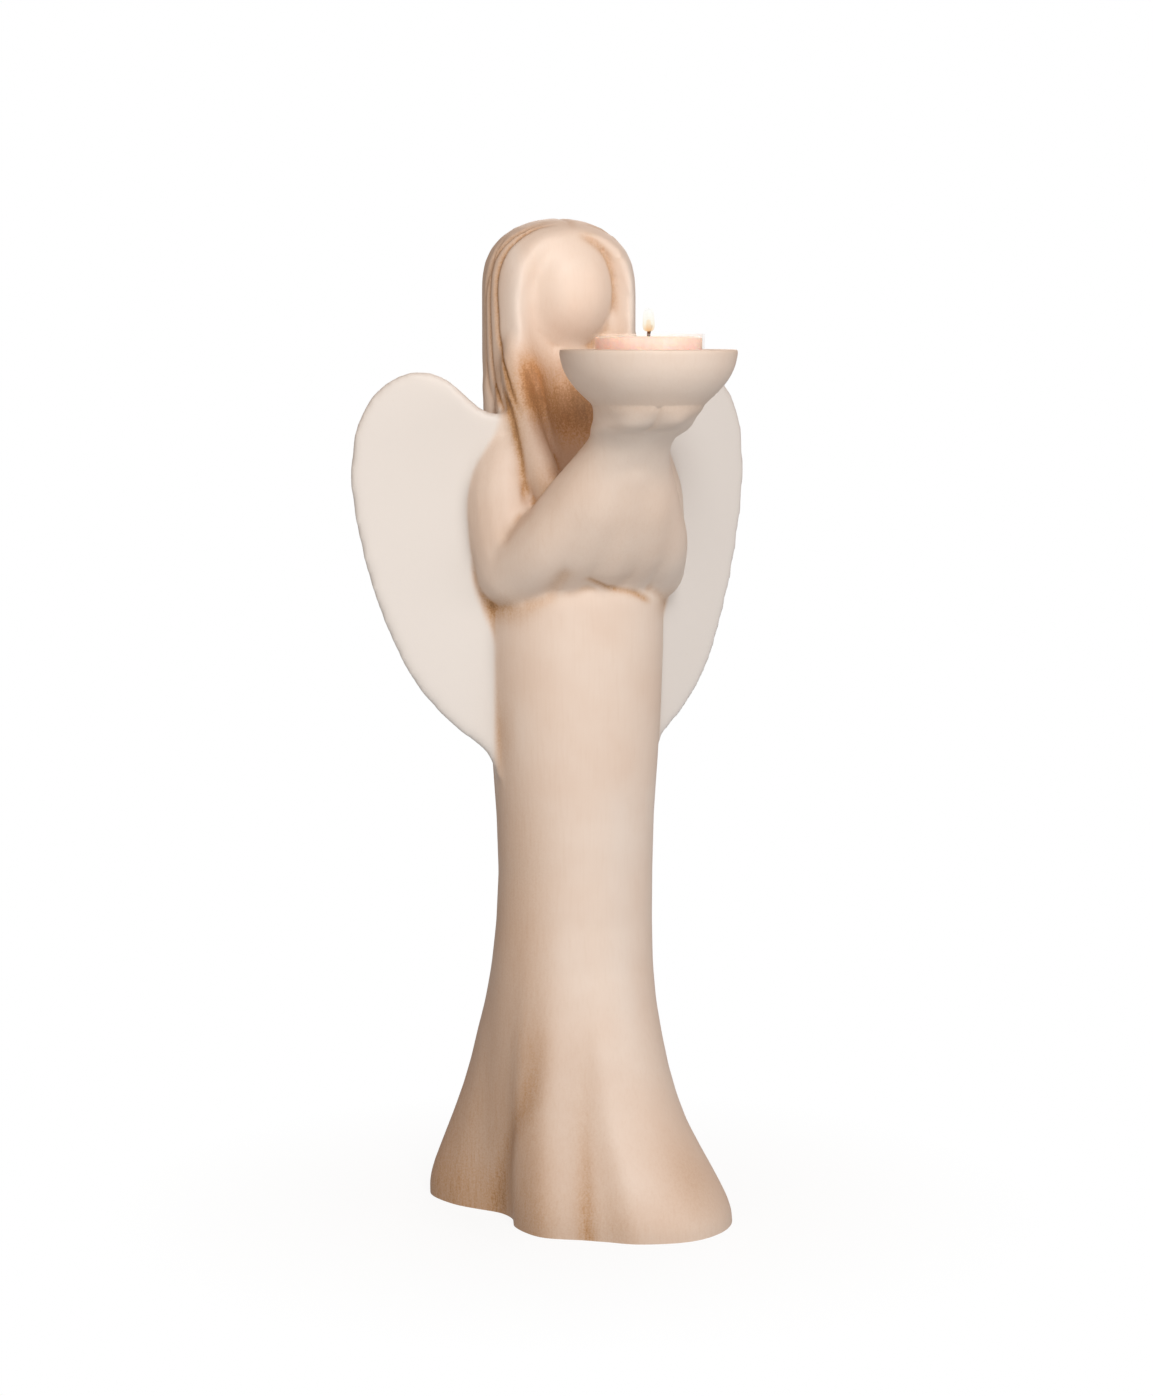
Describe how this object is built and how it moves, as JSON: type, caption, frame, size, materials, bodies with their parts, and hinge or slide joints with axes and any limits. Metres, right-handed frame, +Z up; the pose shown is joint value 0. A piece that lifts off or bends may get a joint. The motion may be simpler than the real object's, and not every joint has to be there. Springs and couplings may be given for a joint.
{
  "type": "angel candle holder",
  "caption": "Standing ceramic angel with long hair, a folded gown and flat wings, holding a round bowl with a tealight up in both hands",
  "frame": {"origin": "on the flat underside, under the axis of the gown", "axes": "+Z up along the height, -Y the way the figure faces, +X its own left"},
  "size_m": [0.1558, 0.1333, 0.3571],
  "materials": {
    "cream_ceramic": "satin, brushed cream glaze with a tan wash in the hollows",
    "clear_plastic": "clear, smooth",
    "peach_wax": "satin, translucent wax",
    "cotton_wick": "matte, charred at the tip",
    "tinned_steel": "bright"
  },
  "bodies": {
    "root": {"figure": "cream_ceramic", "tealight_cup": "clear_plastic", "tealight_wax": "peach_wax", "wick": "cotton_wick", "wick_tab": "tinned_steel"}
  },
  "joints": []
}
